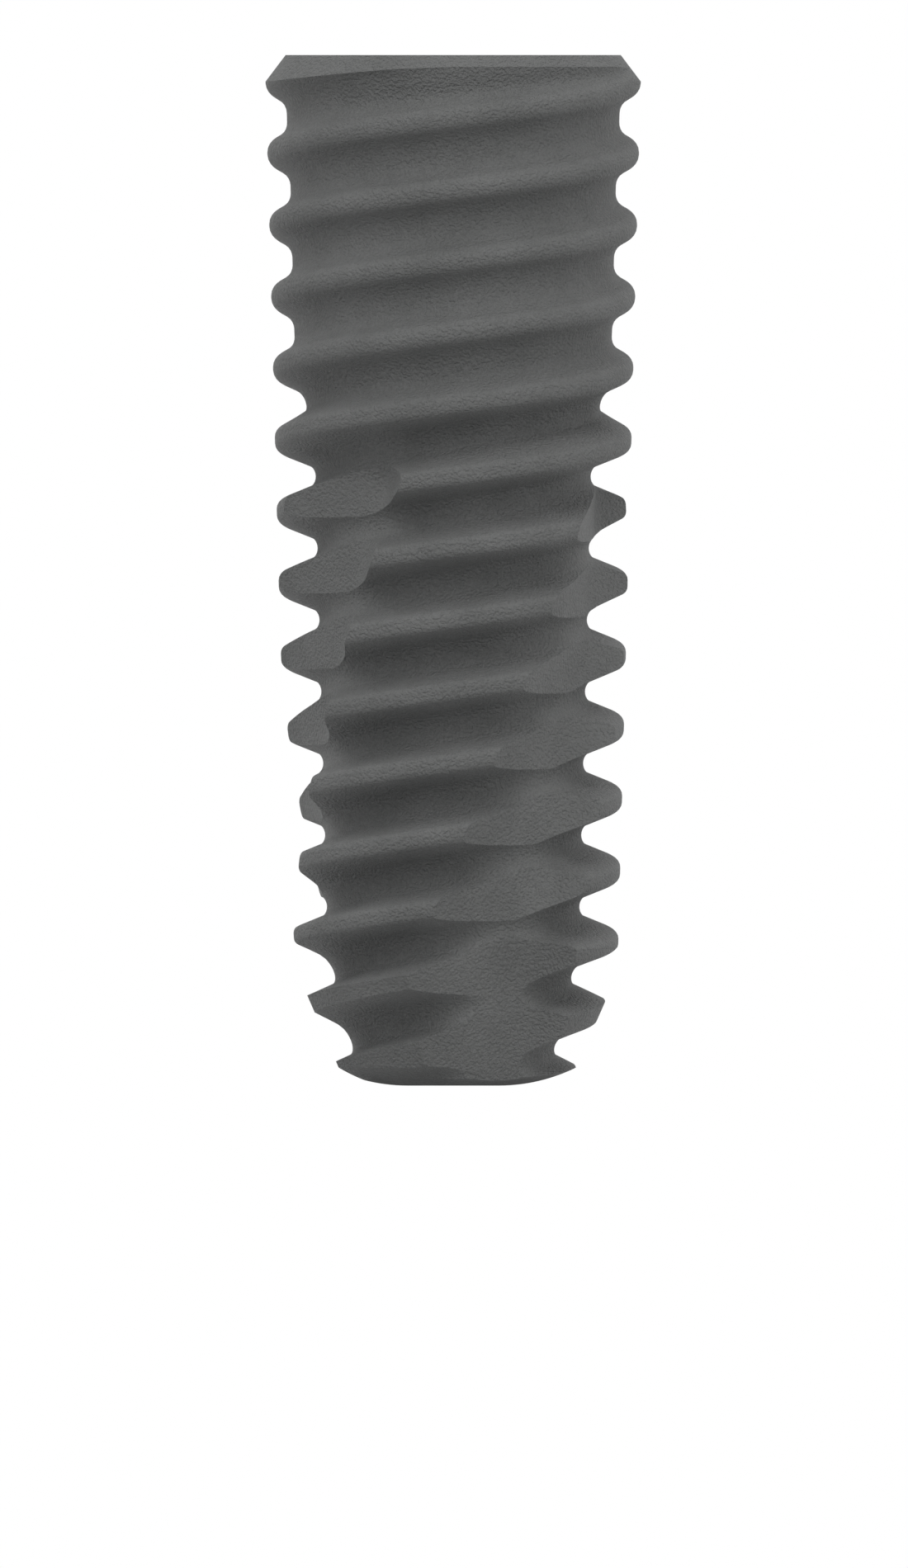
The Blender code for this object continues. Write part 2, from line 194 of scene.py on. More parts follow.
@dataclass
class Thread:
    """The two-start right-hand thread, as a bar that is longer than the fixture.

    Its section is the lower one up to deep_below and the upper one from shallow_above. The flank
    above a crest changes over the heights of rising_change, and the one under it over those of
    falling_change. Under the platform the groove runs out, and below sharp_below the crests are
    sharp. A slope is a rise or depth for each millimetre along the axis.
    """

    taper: Taper
    pitch: float = 0.8
    starts: int = 2
    crest_half_width: float = 0.0944
    upper_depth: float = 0.248
    upper_slope: float = 1.8145
    upper_crest_fillet: float = 0.137
    upper_root_fillet: float = 0.217
    lower_depth: float = 0.4448
    lower_slope: float = 2.665
    lower_crest_fillet: float = 0.084
    lower_root_fillet: float = 0.200
    deep_below: float = 6.911
    shallow_above: float = 8.430
    rising_change: tuple[float, float] = (6.60, 7.40)
    falling_change: tuple[float, float] = (7.00, 8.55)
    fillets_of_flank: float = 0.96
    runout_height: float = 0.55
    runout_slope: float = 0.28
    runout_ease: float = 0.12
    neck_shallowing: float = 0.02
    neck_span: tuple[float, float] = (0.86, 0.17)
    least_depth: float = 0.02
    tuck_height: float = 1.547
    tuck_slope: float = 0.212
    sharp_below: float = 1.294
    apex_rise: float = 0.032
    rise_bottom: float = 1.438
    rise_top: float = 1.728
    land_shares: tuple[float, ...] = (0.35, 0.65, 0.85)
    root_shares: tuple[float, ...] = (0.2, 0.4, 0.6, 0.8)
    columns: int = 150
    overcut: float = 0.25

    def neck_loss(self, height: np.ndarray) -> np.ndarray:
        """Depth that the groove loses where it runs out under the platform.

        Args:
            height: Heights of the points.

        Returns:
            The loss at each height.
        """
        bottom = self.taper.length - self.runout_height
        over = np.maximum(height - bottom, 0.0)
        begun = over * over / (2.0 * self.runout_ease)
        ramp = np.where(over < self.runout_ease, begun, over - self.runout_ease / 2.0)
        start, end = (bottom - distance for distance in self.neck_span)
        return self.neck_shallowing * ease(start, end, height) + self.runout_slope * ramp

    def section(self, height: np.ndarray, above: np.ndarray | bool) -> dict[str, np.ndarray]:
        """The groove's section at each height.

        Args:
            height: Heights of the points.
            above: Whether each point is on the flank above its crest.

        Returns:
            Its sizes by name: distances from a crest's centre, fillet radii and depth.
        """
        upper = ease(self.deep_below, self.shallow_above, height)
        rising, falling = ease(*self.rising_change, height), ease(*self.falling_change, height)
        flank = np.where(above, rising, falling)
        slope = self.lower_slope + (self.upper_slope - self.lower_slope) * flank
        crest = self.lower_crest_fillet + (self.upper_crest_fillet - self.lower_crest_fillet) * upper
        root = self.lower_root_fillet + (self.upper_root_fillet - self.lower_root_fillet) * upper
        depth = self.lower_depth + (self.upper_depth - self.lower_depth) * upper
        depth = np.maximum(depth - self.neck_loss(height), self.least_depth)
        angle = np.arctan(slope)
        tangent = np.tan(angle / 2)
        flank_end = self.crest_half_width + depth / slope
        root_tangent = np.minimum(root * tangent, self.pitch / 2 - flank_end)
        crest_tangent = np.minimum(crest * tangent, self.crest_half_width)
        room = self.fillets_of_flank * depth / np.sin(angle) / (root_tangent + crest_tangent)
        root_tangent = root_tangent * np.minimum(room, 1.0)
        crest_tangent = crest_tangent * np.minimum(room, 1.0)
        return {
            "slope": slope,
            "depth": depth,
            "crest_fillet": crest_tangent / tangent,
            "root_fillet": root_tangent / tangent,
            "land": self.crest_half_width - crest_tangent,
            "flank_start": self.crest_half_width + crest_tangent * np.cos(angle),
            "root_start": flank_end - root_tangent * np.cos(angle),
            "root_end": flank_end + root_tangent,
        }

    def depth(self, height: np.ndarray, offset: np.ndarray) -> np.ndarray:
        """Depth under the crest line.

        Args:
            height: Heights of the points.
            offset: Their distances above the nearest crest's centre, negative under it.

        Returns:
            The depth at each point, negative where a sharp crest stands proud.
        """
        form = self.section(height, offset > 0.0)
        distance = np.abs(offset)
        flank = (distance - self.crest_half_width) * form["slope"]
        inside = np.maximum(distance - form["land"], 0.0)
        fillet = form["crest_fillet"]
        rounded = fillet - np.sqrt(np.maximum(fillet**2 - inside**2, 0.0))
        crest = np.where(height < self.sharp_below, flank, rounded)
        to_floor = np.maximum(form["root_end"] - distance, 0.0)
        fillet = form["root_fillet"]
        rise = fillet - np.sqrt(np.maximum(fillet**2 - to_floor**2, 0.0))
        floor = form["depth"] - rise
        lower = np.where(distance < form["root_start"], flank, floor)
        return np.where(distance < form["flank_start"], crest, lower)

    def half_stations(self, crest: np.ndarray, above: bool) -> list[np.ndarray]:
        """Where the mesh has rows on one side of a crest.

        Args:
            crest: Heights of the crests' centres.
            above: Whether the rows are above the centres or under them.

        Returns:
            Distances from those centres, in rising order.
        """
        form = self.section(crest, above)
        land, flank, root = form["land"], form["flank_start"], form["root_start"]
        rows = [land + (flank - land) * share for share in (0.0, *self.land_shares)]
        rows += [flank, (flank + root) / 2, root]
        return rows + [root + (self.pitch / 2 - root) * share for share in self.root_shares]

    def stations(self, base: np.ndarray) -> np.ndarray:
        """Where the mesh has rows, between one crest's centre and the next.

        Args:
            base: Heights of the lower crests' centres.

        Returns:
            Distances above those centres, with the rows first.
        """
        rising = self.half_stations(base, True)
        falling = self.half_stations(base + self.pitch, False)
        back = [self.pitch - offset for offset in reversed(falling)]
        middle = np.full_like(base, self.pitch / 2)
        return np.stack([np.zeros_like(base), *rising, middle, *back])

    def radius(self, height: np.ndarray, offset: np.ndarray) -> np.ndarray:
        """The threaded surface's radius at each point."""
        tuck = np.maximum(self.tuck_height - height, 0.0) * self.tuck_slope
        return self.taper.radius(height) - tuck - self.depth(height, offset)

    def bar(self) -> bpy.types.Object:
        """Lofts the threaded bar along its helices.

        Returns:
            The closed bar, with flat ends past both ends of the fixture.
        """
        bottom, top = -self.overcut, self.taper.length + self.overcut
        lead = self.pitch * self.starts
        first = math.floor((bottom - lead) / self.pitch) - 1
        crests = np.arange(first, math.ceil(top / self.pitch) + 1)
        turned = np.arange(self.columns) / self.columns
        base = crests[:, None] * self.pitch + lead * turned
        offsets = self.stations(base)
        distance = np.where(offsets <= self.pitch / 2, offsets, offsets - self.pitch)
        height = base + offsets
        height += self.apex_rise * (1.0 - ease(self.rise_bottom, self.rise_top, height))
        height = height.transpose(1, 0, 2).reshape(-1, self.columns)
        distance = distance.transpose(1, 0, 2).reshape(-1, self.columns)
        ends = (height <= bottom) | (height >= top)
        distance = np.where(ends, self.pitch / 2, distance)
        height = np.clip(height, bottom, top)
        radius = self.radius(height, distance)
        return wind("implant_fixture_surface", radius, height, self.starts * len(offsets))


@dataclass
class Blank:
    """What the lathe leaves: platform, neck bevel, apex cone, domed tip and its flat.

    The profile passes outside the crests by margin, so that only its ends cut the threaded bar.
    """

    taper: Taper
    platform_diameter: float = 3.74
    bevel_angle: float = 37.1
    cone_height: float = 1.248
    cone_slope: float = 0.44
    flat_diameter: float = 1.012
    arc_radius: float = 1.96
    arc_steps: int = 14
    steps: int = 224
    margin: float = 0.5

    def cone_radius(self, height: float) -> float:
        """The radius of the apex cone at a height."""
        return self.taper.radius(self.cone_height) - (self.cone_height - height) * self.cone_slope

    def dome(self) -> list[tuple[float, float]]:
        """The domed tip's profile, from the cone down to the flat.

        Returns:
            Points of (radius, height).
        """
        flat = self.flat_diameter / 2
        reach = self.cone_radius(0.0) - flat
        square = 1.0 + self.cone_slope**2
        linear = 2.0 * (self.cone_slope * reach - self.arc_radius)
        root = math.sqrt(linear * linear - 4.0 * square * reach**2)
        meeting = (-linear - root) / (2.0 * square)
        sweep = math.acos(1.0 - meeting / self.arc_radius)
        angles = [sweep * (1.0 - step / self.arc_steps) for step in range(self.arc_steps + 1)]
        return [
            (flat + self.arc_radius * math.sin(angle), self.arc_radius * (1.0 - math.cos(angle)))
            for angle in angles
        ]

    def solid(self) -> bpy.types.Object:
        """Turns the blank.

        Returns:
            The solid that the threaded bar is turned to.
        """
        outer = self.taper.diameter / 2 + self.margin
        platform = self.platform_diameter / 2
        drop = (outer - platform) / math.tan(math.radians(self.bevel_angle))
        cone_top = self.cone_height + (outer - self.cone_radius(self.cone_height)) / self.cone_slope
        profile = [(0.0, self.taper.length), (platform, self.taper.length)]
        profile += [(outer, self.taper.length - drop), (outer, cone_top)]
        profile += self.dome()
        profile.append((0.0, 0.0))
        return lathe("blank", profile, self.steps)


@dataclass
class Flute:
    """One cutting flute: a wedge with a long left wall, a short right wall and a round bottom.

    Its angles are in degrees, and twist, narrowing, right_widening and right_leaning are degrees
    for each millimetre of height. The wedge gets squarer towards its upper end.
    """

    taper: Taper
    turn: float
    start_angle: float = -43.7
    reference_height: float = 4.102
    twist: float = 12.0
    straight_below: float = 1.662
    left_half_width: float = 26.4
    narrowing: float = 0.38
    right_half_width: float = 27.2
    right_widening: float = 1.25
    widens_below: float = 3.18
    widest_at: float = 1.43
    left_lean: float = 11.3
    right_lean: float = 27.0
    fillet: float = 0.70
    squarer_above: float = 4.0
    right_leaning: float = 3.8
    fillet_loss: float = 0.12
    deepens_below: float = 1.800
    deepening: float = 0.244
    top: float = 6.70
    runout_height: float = 0.36
    runout_depth: float = 0.50
    overcut: float = 0.25
    crest_clearance: float = 0.06
    fillet_clearance: float = 0.08
    outer_radius: float = 2.725
    level_step: float = 0.07
    arc_steps: int = 10
    runout_steps: int = 8

    def wall_end(self, reach: float, distance: float, normal: float, side: int) -> np.ndarray:
        """Where a wall comes out of a circle.

        Args:
            reach: The circle's radius.
            distance: The wall's distance from the axis.
            normal: The direction of the wall's normal, in radians from the flute's own.
            side: -1 for the left wall, 1 for the right wall.

        Returns:
            The point, in the flute's own frame.
        """
        angle = normal + side * math.acos(distance / reach)
        return np.array([reach * math.cos(angle), reach * math.sin(angle)])

    def outline(self, height: float, withdrawn: float) -> np.ndarray:
        """The cutter's section at a height.

        Args:
            height: Height of the section.
            withdrawn: How far the cutter is drawn back from the axis.

        Returns:
            Points in the flute's own frame, with x outwards and y to the right.
        """
        frozen = max(height, self.straight_below)
        narrow = (frozen - self.reference_height) * self.narrowing
        widen = max(self.widens_below - max(height, self.widest_at), 0.0) * self.right_widening
        squarer = max(min(height, self.top) - self.squarer_above, 0.0)
        fillet = self.fillet - squarer * self.fillet_loss
        left_lean = math.radians(self.left_lean)
        right_lean = math.radians(self.right_lean + squarer * self.right_leaning)
        left_half = math.radians(self.left_half_width - narrow)
        right_half = math.radians(self.right_half_width + widen)
        body = self.taper.radius(height)
        deeper = max(self.deepens_below - height, 0.0) * self.deepening - withdrawn
        left = body * math.cos(left_half + left_lean) - deeper
        right = body * math.cos(right_half + right_lean) - deeper
        left_normal = (math.cos(left_lean), math.sin(left_lean))
        right_normal = (math.cos(right_lean), -math.sin(right_lean))
        centre = np.linalg.solve([left_normal, right_normal], [left + fillet, right + fillet])
        angles = np.linspace(left_lean, -right_lean, self.arc_steps + 1)
        arc = centre - fillet * np.column_stack([np.cos(angles), np.sin(angles)])
        furthest = np.hypot(arc[:, 0], arc[:, 1]).max() + self.fillet_clearance
        reach = max(body + self.crest_clearance, furthest)
        left_end = self.wall_end(reach, left, left_lean, -1)
        right_end = self.wall_end(reach, right, -right_lean, 1)
        corners = [left_end * self.outer_radius / np.hypot(*left_end), left_end]
        corners += [(left_end + arc[0]) / 2, *arc, (right_end + arc[-1]) / 2]
        corners += [right_end, right_end * self.outer_radius / np.hypot(*right_end)]
        return np.array(corners)

    def levels(self) -> list[tuple[float, float]]:
        """Heights of the sections, each with how far the cutter is drawn back there.

        Returns:
            Pairs of height and distance, from under the tip up to the run-out.
        """
        bottom = -self.overcut
        count = math.ceil((self.top - bottom) / self.level_step)
        levels = [(bottom + (self.top - bottom) * i / count, 0.0) for i in range(count + 1)]
        for step in range(1, self.runout_steps + 1):
            angle = math.pi / 2 * step / self.runout_steps
            height = self.top + self.runout_height * math.sin(angle)
            levels.append((height, self.runout_depth * (1.0 - math.cos(angle))))
        return levels

    def cutter(self) -> bpy.types.Object:
        """Lofts the cutter through its sections.

        Returns:
            The solid that is taken away from the fixture.
        """
        sections = []
        for height, withdrawn in self.levels():
            corners = self.outline(height, withdrawn)
            above = max(height, self.straight_below) - self.reference_height
            turn = math.radians(self.start_angle + self.turn + self.twist * above)
            x = corners[:, 0] * math.cos(turn) - corners[:, 1] * math.sin(turn)
            y = corners[:, 0] * math.sin(turn) + corners[:, 1] * math.cos(turn)
            sections.append(np.column_stack([x, y, np.full(len(x), height)]))
        return loft("flute_cutter", np.array(sections))


@dataclass
class Socket:
    """The lead-in, the hexagon and the tapped bore, cut from the platform down.

    The internal thread's form has pairs of a share of its pitch and a share of its depth.
    """

    taper: Taper
    mouth_diameter: float = 2.95
    mouth_depth: float = 0.35
    mouth_inside_flats: float = 0.14
    across_flats: float = 2.42
    hex_depth: float = 1.90
    hex_corner_ease: float = 2.2
    lead_in_diameter: float = 1.95
    lead_in_depth: float = 0.06
    bore_diameter: float = 1.55
    bore_depth: float = 5.60
    drill_half_angle: float = 59.0
    thread_pitch: float = 0.35
    thread_depth: float = 0.14
    thread_length: float = 3.0
    thread_form: tuple[tuple[float, float], ...] = (
        (0.0, 1.0), (0.10, 1.0), (0.45, 0.0), (0.60, 0.0), (0.95, 1.0),
    )
    tap_clearance: float = 0.03
    tap_below_floor: float = 0.02
    overcut: float = 0.25
    steps: int = 96

    @property
    def hex_floor(self) -> float:
        """Height of the hexagon's floor."""
        return self.taper.length - self.hex_depth

    def hexagon(self) -> bpy.types.Object:
        """Makes the hexagon's cutter, with corners slightly eased.

        Returns:
            A six-sided prism.
        """
        eased = math.radians(self.hex_corner_ease)
        radius = self.across_flats / 2 / math.cos(math.pi / 6 - eased)
        ring = []
        for side in range(6):
            for offset in (-eased, eased):
                angle = math.tau * side / 6 + math.pi / 6 + offset
                ring.append((radius * math.cos(angle), radius * math.sin(angle)))
        heights = (self.hex_floor, self.taper.length + self.overcut)
        return loft("hexagon", np.array([[(x, y, z) for x, y in ring] for z in heights]))

    def bore(self) -> bpy.types.Object:
        """Turns the lead-in cone and the drilled bore.

        Returns:
            One solid of revolution.
        """
        mouth = self.mouth_diameter / 2
        inner = self.across_flats / 2 - self.mouth_inside_flats
        bore, lead_in = self.bore_diameter / 2, self.lead_in_diameter / 2
        floor = self.taper.length - self.bore_depth
        cone = (mouth - inner) / self.mouth_depth
        profile = [
            (0.0, self.taper.length + self.overcut),
            (mouth + cone * self.overcut, self.taper.length + self.overcut),
            (inner, self.taper.length - self.mouth_depth),
            (lead_in, self.hex_floor + self.lead_in_depth),
            (lead_in, self.hex_floor),
            (bore, self.hex_floor - (lead_in - bore)),
            (bore, floor),
            (0.0, floor - bore / math.tan(math.radians(self.drill_half_angle))),
        ]
        return lathe("bore", profile, self.steps)

    def tap(self) -> bpy.types.Object:
        """Lofts the tap that cuts the internal thread.

        Returns:
            A threaded bar inside the bore's length.
        """
        top = self.hex_floor - self.tap_below_floor
        bottom = top - self.thread_length
        turns = math.ceil(self.thread_length / self.thread_pitch) + 2
        rows = [(turn + along, out) for turn in range(turns) for along, out in self.thread_form]
        base = bottom + self.thread_pitch * (np.arange(self.steps) / self.steps - 1.0)
        height = np.array([base + self.thread_pitch * along for along, _ in rows])
        outward = np.array([[out] * self.steps for _, out in rows])
        ends = (height <= bottom) | (height >= top)
        inner = self.bore_diameter / 2 - self.tap_clearance
        reach = self.thread_depth + self.tap_clearance
        radius = inner + reach * np.where(ends, 0.0, outward)
        return wind("tap", radius, np.clip(height, bottom, top), len(self.thread_form))


@dataclass(frozen=True)
class Noise:
    """A noise's features for each millimetre, its octaves and how strong the finer ones are."""

    scale: float
    detail: float
    roughness: float


class NodeKit:
    """Short calls for building a material's nodes."""

    def __init__(self, name: str) -> None:
        """Starts a material that holds one Principled shader.

        Args:
            name: The material's name.
        """
        self.material = bpy.data.materials.new(name)
        self.material.use_nodes = True
        self.tree = self.material.node_tree
        self.shader = self.tree.nodes["Principled BSDF"]

    def node(self, kind: str, **settings: object) -> bpy.types.Node:
        """Adds a node.

        Args:
            kind: The node's type.
            settings: Its properties.

        Returns:
            The node.
        """
        made = self.tree.nodes.new(kind)
        for name, value in settings.items():
            setattr(made, name, value)
        return made

    def link(self, source: bpy.types.NodeSocket, target: bpy.types.NodeSocket) -> None:
        """Links two sockets."""
        self.tree.links.new(source, target)

    def scaled(
        self, where: bpy.types.NodeSocket, scale: tuple[float, float, float]
    ) -> bpy.types.NodeSocket:
        """Scales a position along each axis.

        Args:
            where: The position.
            scale: The factor of each axis.

        Returns:
            The scaled position.
        """
        mapping = self.node("ShaderNodeMapping")
        mapping.inputs["Scale"].default_value = scale
        self.link(where, mapping.inputs["Vector"])
        return mapping.outputs["Vector"]

    def position(self) -> bpy.types.NodeSocket:
        """The point on the object, in millimetres."""
        coordinates = self.node("ShaderNodeTexCoord")
        return self.scaled(coordinates.outputs["Object"], (1.0 / MM, 1.0 / MM, 1.0 / MM))

    def noise(self, where: bpy.types.NodeSocket, form: Noise) -> bpy.types.NodeSocket:
        """Adds a noise texture.

        Args:
            where: The position that it reads.
            form: Its sizes.

        Returns:
            Its value, from 0 to 1.
        """
        texture = self.node("ShaderNodeTexNoise")
        texture.inputs["Scale"].default_value = form.scale
        texture.inputs["Detail"].default_value = form.detail
        texture.inputs["Roughness"].default_value = form.roughness
        self.link(where, texture.inputs["Vector"])
        return texture.outputs["Fac"]

    def spread(
        self, value: bpy.types.NodeSocket, low: float, high: float
    ) -> bpy.types.NodeSocket:
        """Maps a noise's usual range to a new range.

        Args:
            value: The noise's value.
            low: The result at the low end of the usual range.
            high: The result at its high end.

        Returns:
            The mapped value.
        """
        spread = self.node("ShaderNodeMapRange")
        spread.inputs["From Min"].default_value = NOISE_RANGE[0]
        spread.inputs["From Max"].default_value = NOISE_RANGE[1]
        spread.inputs["To Min"].default_value = low
        spread.inputs["To Max"].default_value = high
        self.link(value, spread.inputs["Value"])
        return spread.outputs["Result"]

    def sum(self, first: bpy.types.NodeSocket, second: bpy.types.NodeSocket) -> bpy.types.NodeSocket:
        """Adds two values.

        Args:
            first: One value.
            second: The other value.

        Returns:
            Their sum.
        """
        total = self.node("ShaderNodeMath", operation="ADD")
        self.link(first, total.inputs[0])
        self.link(second, total.inputs[1])
        return total.outputs[0]

    def tint(
        self,
        value: bpy.types.NodeSocket,
        dark: tuple[float, float, float],
        light: tuple[float, float, float],
    ) -> None:
        """Colours the shader between two tones by a noise.

        Args:
            value: The noise's value.
            dark: The tone at the low end of its usual range.
            light: The tone at its high end.
        """
        ramp = self.node("ShaderNodeValToRGB")
        for element, place, tone in zip(ramp.color_ramp.elements, NOISE_RANGE, (dark, light)):
            element.position = place
            element.color = (*tone, 1.0)
        self.link(value, ramp.inputs["Fac"])
        self.link(ramp.outputs["Color"], self.shader.inputs["Base Color"])

    def relief(self, height: bpy.types.NodeSocket, depth: float, strength: float) -> None:
        """Gives the shader a bumpy surface.

        Args:
            height: The relief's height, from 0 to 1.
            depth: What a height of 1 stands for, in millimetres.
            strength: How much of the relief is used.
        """
        bump = self.node("ShaderNodeBump")
        bump.inputs["Strength"].default_value = strength
        bump.inputs["Distance"].default_value = depth * MM
        self.link(height, bump.inputs["Height"])
        self.link(bump.outputs["Normal"], self.shader.inputs["Normal"])


@dataclass(frozen=True)
class BlastedTitanium:
    """Titanium that was grit-blasted and etched: dull, dark and evenly grained."""

    dark: tuple[float, float, float] = (0.104, 0.106, 0.105)
    light: tuple[float, float, float] = (0.128, 0.130, 0.129)
    metallic: float = 0.20
    specular: float = 0.16
    smoothest: float = 0.62
    roughest: float = 0.78
    cloud: Noise = Noise(1.1, 4.0, 0.55)
    grain: Noise = Noise(30.0, 1.0, 0.50)
    fine_grain: Noise = Noise(60.0, 2.0, 0.60)
    fine_share: float = 0.10
    grain_depth: float = 0.018
    strength: float = 0.85

    def material(self) -> bpy.types.Material:
        """Builds the material.

        Returns:
            A metal with slow changes of tone, and with a grain in its gloss and relief.
        """
        kit = NodeKit("blasted_titanium")
        where = kit.position()
        coarse = kit.noise(where, self.grain)
        fine = kit.noise(where, self.fine_grain)
        kit.tint(kit.noise(where, self.cloud), self.dark, self.light)
        kit.shader.inputs["Metallic"].default_value = self.metallic
        kit.shader.inputs["Specular IOR Level"].default_value = self.specular
        gloss = kit.spread(coarse, self.smoothest, self.roughest)
        kit.link(gloss, kit.shader.inputs["Roughness"])
        relief = kit.sum(kit.spread(coarse, 0.0, 1.0), kit.spread(fine, 0.0, self.fine_share))
        kit.relief(relief, self.grain_depth, self.strength)
        return kit.material


@dataclass(frozen=True)
class MachinedTitanium:
    """Titanium as the cutting tool leaves it, inside the socket and the bore."""

    dark: tuple[float, float, float] = (0.24, 0.24, 0.235)
    light: tuple[float, float, float] = (0.33, 0.33, 0.325)
    metallic: float = 0.9
    smoothest: float = 0.29
    roughest: float = 0.41
    marks: Noise = Noise(1.0, 3.0, 0.5)
    marks_scale: tuple[float, float, float] = (0.6, 0.6, 30.0)
    mark_depth: float = 0.004
    strength: float = 0.35

    def material(self) -> bpy.types.Material:
        """Builds the material.

        Returns:
            A smoother metal with faint tool marks round the axis.
        """
        kit = NodeKit("machined_titanium")
        marks = kit.noise(kit.scaled(kit.position(), self.marks_scale), self.marks)
        kit.tint(marks, self.dark, self.light)
        kit.shader.inputs["Metallic"].default_value = self.metallic
        gloss = kit.spread(marks, self.smoothest, self.roughest)
        kit.link(gloss, kit.shader.inputs["Roughness"])
        kit.relief(marks, self.mark_depth, self.strength)
        return kit.material


@dataclass
class Fixture:
    """The whole fixture, from one piece of titanium.

    Inside the spaces of the bore and the socket, each a radius and a lowest height, it is machined.
    """

    taper: Taper = field(default_factory=Taper)
    flute_turns: tuple[float, ...] = (0.0, 118.8, 237.7)
    bore_space: tuple[float, float] = (1.0, 4.0)
    socket_space: tuple[float, float] = (1.48, 9.2)
    platform_tolerance: float = 0.001
    least_outward: float = 0.3
    sharp_angle: float = 34.0

    def cut(self, target: bpy.types.Object, tool: bpy.types.Object, how: Cut) -> None:
        """Changes the target by a tool.

        Args:
            target: The solid that stays.
            tool: The solid that shapes it.
            how: What is kept.
        """
        modifier = target.modifiers.new(tool.name, "BOOLEAN")
        modifier.operation = how.value
        modifier.solver = "MANIFOLD"
        modifier.object = tool

    def tools(self) -> list[tuple[bpy.types.Object, Cut]]:
        """Makes every tool, in the order of use.

        Returns:
            Pairs of tool and use.
        """
        socket = Socket(self.taper)
        steps = [(Blank(self.taper).solid(), Cut.KEEP_COMMON)]
        steps += [(Flute(self.taper, turn).cutter(), Cut.TAKE_AWAY) for turn in self.flute_turns]
        steps += [(socket.hexagon(), Cut.TAKE_AWAY), (socket.bore(), Cut.TAKE_AWAY)]
        steps.append((socket.tap(), Cut.TAKE_AWAY))
        return steps

    def machined(self, mesh: bpy.types.Mesh) -> np.ndarray:
        """Finds the faces that aren't blasted: the bore, the socket and the flat platform.

        Args:
            mesh: The finished mesh.

        Returns:
            Whether each face is one of them.
        """
        sides = {}
        for name in ("center", "normal"):
            sides[name] = np.empty(len(mesh.polygons) * 3)
            mesh.polygons.foreach_get(name, sides[name])
            sides[name] = sides[name].reshape(-1, 3)
        x, y, height = sides["center"].T / MM
        radius = np.hypot(x, y)
        outward = x * sides["normal"][:, 0] + y * sides["normal"][:, 1]
        outward /= np.maximum(radius, MERGE_DISTANCE)
        found = height > self.taper.length - self.platform_tolerance
        found &= outward < self.least_outward
        for reach, floor in (self.bore_space, self.socket_space):
            found |= (radius < reach) & (height > floor)
        return found

    def dress(self, mesh: bpy.types.Mesh) -> None:
        """Gives the outside and the socket their finishes.

        Args:
            mesh: The finished mesh.
        """
        mesh.materials.clear()
        mesh.materials.append(BlastedTitanium().material())
        mesh.materials.append(MachinedTitanium().material())
        mesh.polygons.foreach_set("material_index", self.machined(mesh).astype(np.int32))
        mesh.shade_smooth()
        mesh.set_sharp_from_angle(angle=math.radians(self.sharp_angle))

    def build(self) -> bpy.types.Object:
        """Builds and dresses the fixture.

        Returns:
            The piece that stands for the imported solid.
        """
        piece = Thread(self.taper).bar()
        tools = self.tools()
        for tool, how in tools:
            self.cut(piece, tool, how)
        bpy.context.view_layer.update()
        evaluated = piece.evaluated_get(bpy.context.evaluated_depsgraph_get())
        mesh = bpy.data.meshes.new_from_object(evaluated)
        piece.modifiers.clear()
        piece.data = mesh
        for tool, _ in tools:
            bpy.data.objects.remove(tool)
        self.dress(mesh)
        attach(piece, "root")
        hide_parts("implant_fixture")
        return piece


class SeenAs(Enum):
    """Light Path outputs of the rays that see a surface or the sky, and aren't its light."""

    CAMERA = "Is Camera Ray"
    GLOSSY = "Is Glossy Ray"
    TRANSMISSION = "Is Transmission Ray"


def split_by_ray(
    tree: bpy.types.NodeTree, light: bpy.types.NodeSocket, look: bpy.types.NodeSocket
) -> bpy.types.NodeSocket:
    """Shows one shader to the eye and lights the fixture by another.

    Args:
        tree: The node tree of both shaders.
        light: The shader that diffuse rays meet.
        look: The shader that camera, glossy and transmission rays meet.

    Returns:
        The mixed shader.
    """
    path = tree.nodes.new("ShaderNodeLightPath")
    mixed = light
    for ray in SeenAs:
        mix = tree.nodes.new("ShaderNodeMixShader")
        tree.links.new(path.outputs[ray.value], mix.inputs["Fac"])
        tree.links.new(mixed, mix.inputs[1])
        tree.links.new(look, mix.inputs[2])
        mixed = mix.outputs["Shader"]
    return mixed


